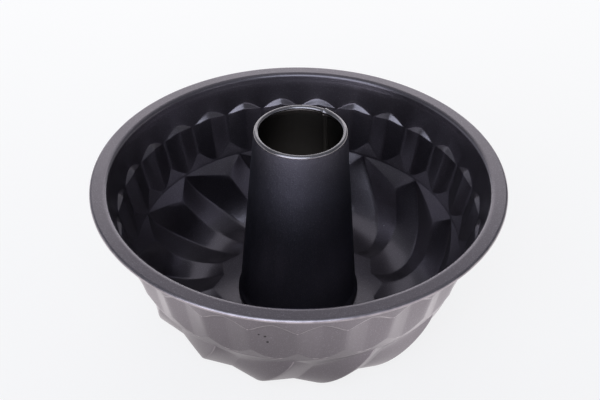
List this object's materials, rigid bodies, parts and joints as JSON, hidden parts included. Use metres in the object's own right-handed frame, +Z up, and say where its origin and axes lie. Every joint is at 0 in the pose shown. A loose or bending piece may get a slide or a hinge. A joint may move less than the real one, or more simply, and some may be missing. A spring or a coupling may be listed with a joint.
{
  "type": "kugelhopf mould",
  "caption": "Deep round baking mould with spiral flutes, a scalloped wall, a rolled rim and an open centre tube.",
  "frame": {"origin": "on the surface that the mould stands on, in the middle of its footprint, on the tube's axis", "axes": "+Z up along the centre tube, -Y towards the viewer of the picture, +X to the viewer's right"},
  "size_m": [0.24, 0.24, 0.1267],
  "materials": {
    "bowl_coating": "satin anthracite non-stick coat with a fine grain",
    "tube_coating": "satin anthracite non-stick coat, bare at the curled top edge"
  },
  "bodies": {
    "root": {"bowl": "bowl_coating", "centre_tube": "tube_coating"}
  },
  "joints": []
}
